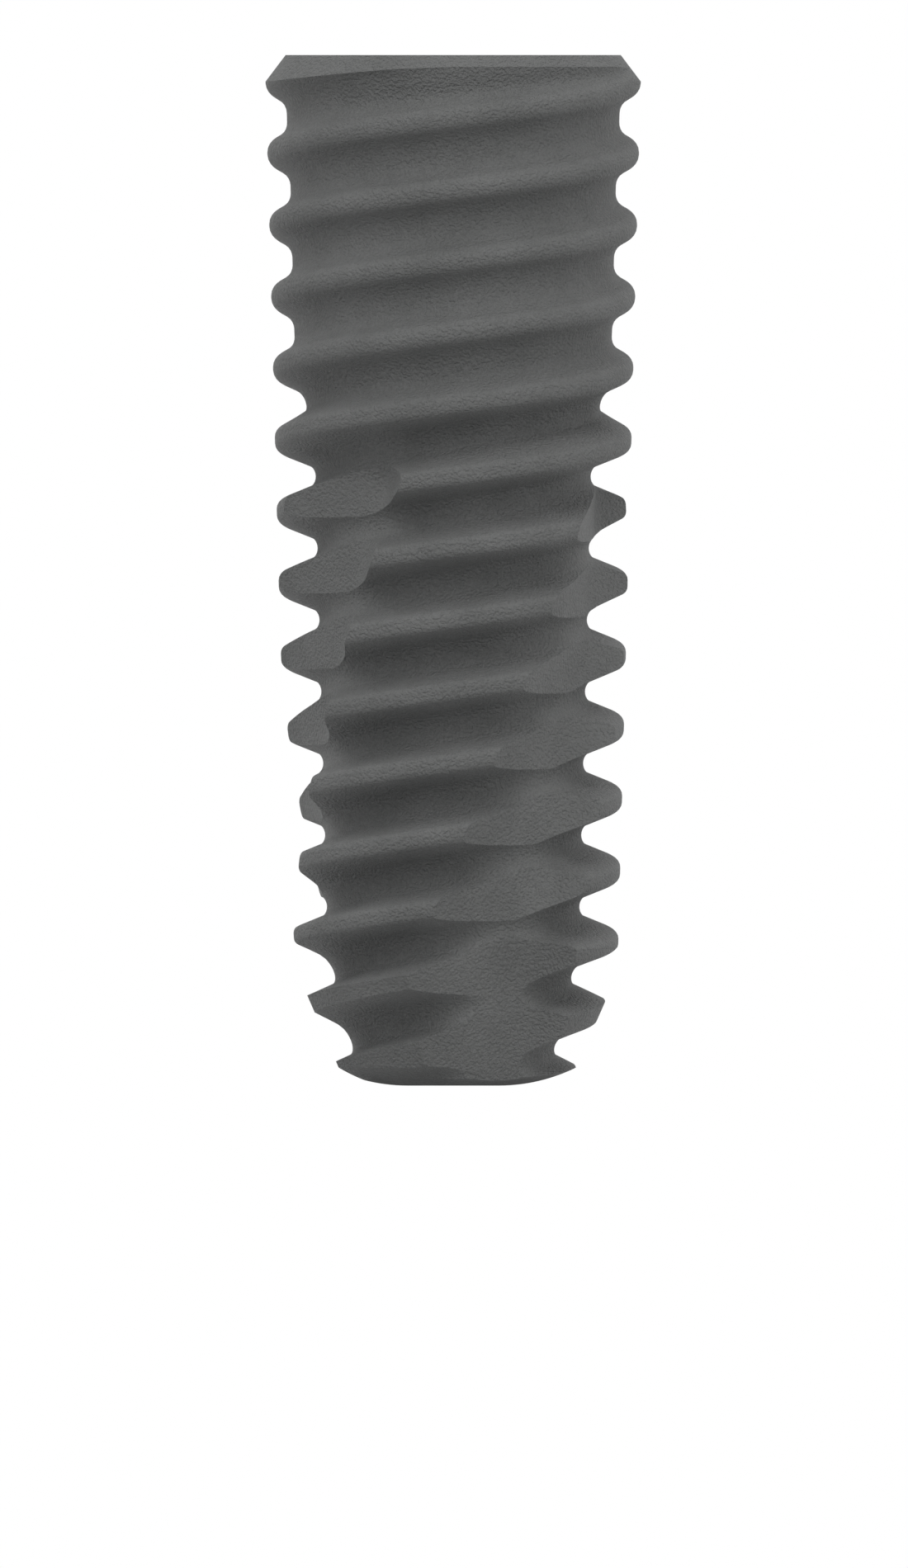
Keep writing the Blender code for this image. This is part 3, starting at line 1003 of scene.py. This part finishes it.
@dataclass
class Studio:
    """A pale table, a soft sky that is brightest high up, a lamp and the photograph's camera.

    The tones of the sky's left and right are pairs of the sine of a height and the tone there.
    """

    frame_height: float = 17.496
    view_centre: tuple[float, float] = (0.0092, 3.366)
    distance: float = 90.0
    seen: tuple[float, float] = (0.1, 10000.0)
    table_size: float = 400.0
    table_colour: tuple[float, float, float] = (0.80, 0.80, 0.80)
    table_roughness: float = 0.9
    table_light: float = 0.66
    lamp_place: tuple[float, float, float] = (-25.0, -110.0, 110.0)
    lamp_size: float = 90.0
    lamp_watts: float = 0.06
    brightest: float = 2.4
    left_tones: tuple[tuple[float, float], ...] = (
        (-0.10, 0.20), (0.06, 0.20), (0.24, 0.15), (0.44, 1.30),
        (0.62, 2.20), (0.77, 2.25), (0.89, 1.80), (0.98, 0.80),
    )
    right_tones: tuple[tuple[float, float], ...] = (
        (-0.10, 1.60), (0.06, 1.60), (0.24, 1.10), (0.44, 0.70),
        (0.62, 1.55), (0.77, 2.25), (0.89, 1.80), (0.98, 0.80),
    )

    def camera(self) -> bpy.types.Object:
        """Places the camera level with the fixture, without perspective.

        Returns:
            The camera.
        """
        data = bpy.data.cameras.new("camera")
        data.type = "ORTHO"
        data.ortho_scale = self.frame_height * MM
        data.clip_start, data.clip_end = (distance * MM for distance in self.seen)
        made = bpy.data.objects.new("camera", data)
        x, z = self.view_centre
        made.location = (x * MM, -self.distance * MM, z * MM)
        made.rotation_euler = (math.pi / 2, 0.0, 0.0)
        bpy.context.scene.collection.objects.link(made)
        bpy.context.scene.camera = made
        return made

    def table(self) -> bpy.types.Object:
        """Makes the table, which the camera sees as white with the fixture's shadow.

        Returns:
            The table.
        """
        half = self.table_size * MM / 2
        mesh = bpy.data.meshes.new("table")
        corners = [(-half, -half, 0.0), (half, -half, 0.0), (half, half, 0.0), (-half, half, 0.0)]
        mesh.from_pydata(corners, [], [(0, 1, 2, 3)])
        made = bpy.data.objects.new("table", mesh)
        bpy.context.scene.collection.objects.link(made)
        kit = NodeKit("pale_table")
        kit.shader.inputs["Base Color"].default_value = (*self.table_colour, 1.0)
        kit.shader.inputs["Roughness"].default_value = self.table_roughness
        glow = kit.node("ShaderNodeEmission")
        glow.inputs["Strength"].default_value = self.table_light
        mixed = split_by_ray(kit.tree, glow.outputs["Emission"], kit.shader.outputs["BSDF"])
        kit.link(mixed, kit.tree.nodes["Material Output"].inputs["Surface"])
        mesh.materials.append(kit.material)
        return made

    def tones(
        self,
        tree: bpy.types.NodeTree,
        height: bpy.types.NodeSocket,
        stops: tuple[tuple[float, float], ...],
    ) -> bpy.types.NodeSocket:
        """Draws one side of the sky.

        Args:
            tree: The world's node tree.
            height: The sine of the angle above the horizon.
            stops: Pairs of that sine and the tone there.

        Returns:
            The tone, as a share of the brightest.
        """
        place = tree.nodes.new("ShaderNodeMapRange")
        place.inputs["From Min"].default_value = -1.0
        tree.links.new(height, place.inputs["Value"])
        ramp = tree.nodes.new("ShaderNodeValToRGB")
        ramp.color_ramp.interpolation = "EASE"
        tree.links.new(place.outputs["Result"], ramp.inputs["Fac"])
        while len(ramp.color_ramp.elements) < len(stops):
            ramp.color_ramp.elements.new(1.0)
        for element, (sine, tone) in zip(ramp.color_ramp.elements, stops):
            share = tone / self.brightest
            element.position = (sine + 1.0) / 2.0
            element.color = (share, share, share, 1.0)
        return ramp.outputs["Color"]

    def world(self) -> None:
        """Lights the scene from all round, in front of a white background."""
        world = bpy.data.worlds.new("studio")
        world.use_nodes = True
        bpy.context.scene.world = world
        tree = world.node_tree
        tree.nodes.clear()
        direction = tree.nodes.new("ShaderNodeTexCoord")
        split = tree.nodes.new("ShaderNodeSeparateXYZ")
        tree.links.new(direction.outputs["Generated"], split.inputs["Vector"])
        side = tree.nodes.new("ShaderNodeMapRange")
        side.inputs["From Min"].default_value = -1.0
        tree.links.new(split.outputs["X"], side.inputs["Value"])
        sides = tree.nodes.new("ShaderNodeMixRGB")
        tree.links.new(side.outputs["Result"], sides.inputs["Fac"])
        tree.links.new(self.tones(tree, split.outputs["Z"], self.left_tones), sides.inputs[1])
        tree.links.new(self.tones(tree, split.outputs["Z"], self.right_tones), sides.inputs[2])
        light = tree.nodes.new("ShaderNodeBackground")
        light.inputs["Strength"].default_value = self.brightest
        tree.links.new(sides.outputs["Color"], light.inputs["Color"])
        white = tree.nodes.new("ShaderNodeBackground")
        white.inputs["Color"].default_value = (1.0, 1.0, 1.0, 1.0)
        mixed = split_by_ray(tree, light.outputs["Background"], white.outputs["Background"])
        output = tree.nodes.new("ShaderNodeOutputWorld")
        tree.links.new(mixed, output.inputs["Surface"])

    def lamp(self) -> bpy.types.Object:
        """Hangs a square soft lamp that faces the fixture.

        Returns:
            The lamp.
        """
        data = bpy.data.lights.new("key_lamp", "AREA")
        data.shape = "SQUARE"
        data.size = self.lamp_size * MM
        data.energy = self.lamp_watts
        made = bpy.data.objects.new("key_lamp", data)
        bpy.context.scene.collection.objects.link(made)
        made.location = tuple(part * MM for part in self.lamp_place)
        away = made.location.copy()
        away.z -= self.view_centre[1] * MM
        made.rotation_euler = away.to_track_quat("Z", "Y").to_euler()
        return made

    def build(self) -> None:
        """Sets up the whole studio."""
        self.camera()
        self.table()
        self.world()
        self.lamp()
        bpy.context.scene.view_settings.view_transform = "Standard"


def main() -> None:
    """Builds the looks and reports each piece."""
    logging.basicConfig(level=logging.INFO, format="%(name)s: %(message)s")
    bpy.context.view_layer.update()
    Studio().build()
    piece = Fixture().build()
    LOG.info("%s: %d faces", piece.name, len(piece.data.polygons))


if __name__ == "__main__":
    main()
